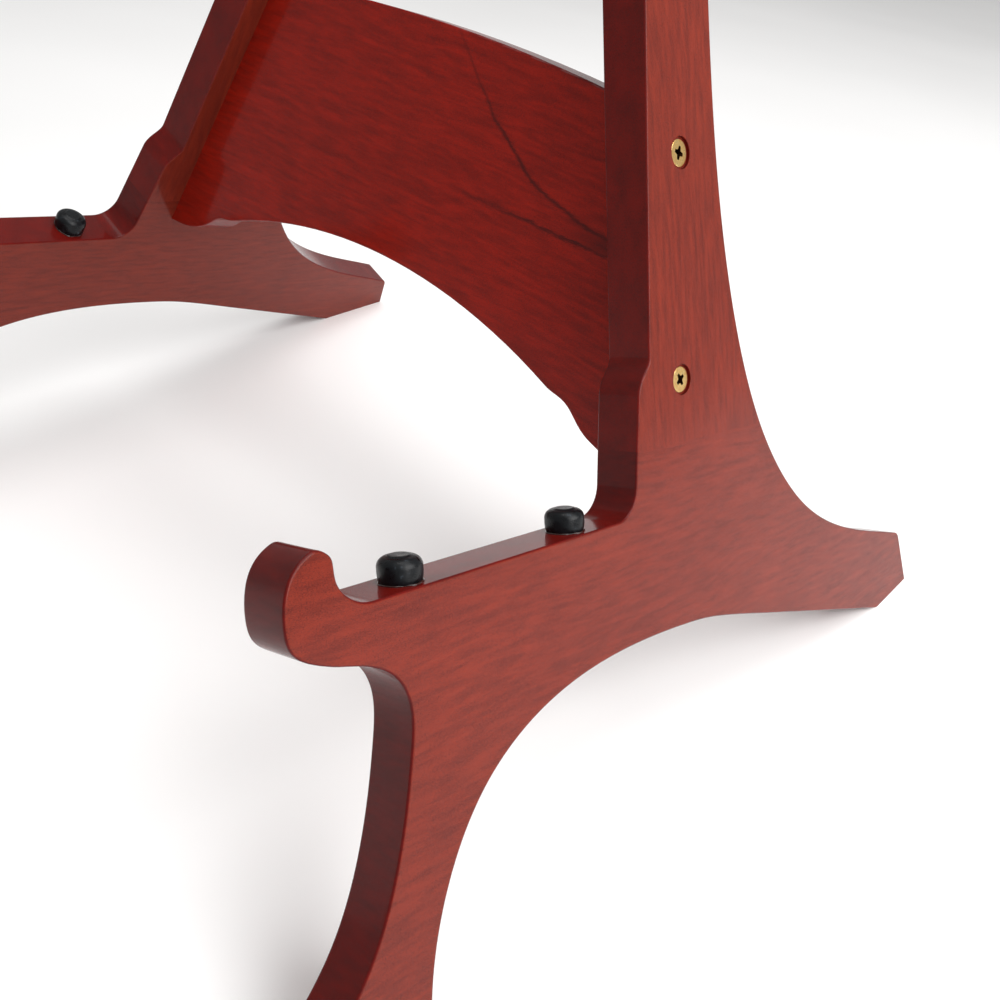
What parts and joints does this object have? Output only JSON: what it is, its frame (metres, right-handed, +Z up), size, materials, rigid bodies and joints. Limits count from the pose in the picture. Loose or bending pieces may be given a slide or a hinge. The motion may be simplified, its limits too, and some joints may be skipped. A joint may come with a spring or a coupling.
{
  "type": "guitar stand",
  "caption": "Wooden floor stand for one guitar: leaning side frames with hooked arms and rubber bumpers, joined by an arched cross panel.",
  "frame": {"origin": "on the floor, at the centre of the footprint", "axes": "+Z up; X across the stand, from the left side to the right side; -Y towards the hooks, where the player stands"},
  "size_m": [0.4298, 0.4049, 0.3422],
  "materials": {
    "stained_mahogany": "red-brown stain under satin lacquer",
    "beech": "bare",
    "rubber": "moulded, slightly glossy",
    "brass": "bright plated"
  },
  "bodies": {
    "root": {"cross_panel": "stained_mahogany", "right_base_board": "stained_mahogany", "right_upright": "stained_mahogany", "right_front_glue_dowel": "beech", "right_rear_glue_dowel": "beech", "right_locating_dowel": "beech", "right_lower_screw": "brass", "right_upper_screw": "brass", "right_lower_insert": "brass", "right_upper_insert": "brass", "right_front_bumper": "rubber", "right_rear_bumper": "rubber", "right_back_bumper": "rubber", "left_base_board": "stained_mahogany", "left_upright": "stained_mahogany", "left_front_glue_dowel": "beech", "left_rear_glue_dowel": "beech", "left_locating_dowel": "beech", "left_lower_screw": "brass", "left_upper_screw": "brass", "left_lower_insert": "brass", "left_upper_insert": "brass", "left_front_bumper": "rubber", "left_rear_bumper": "rubber", "left_back_bumper": "rubber"}
  },
  "joints": []
}
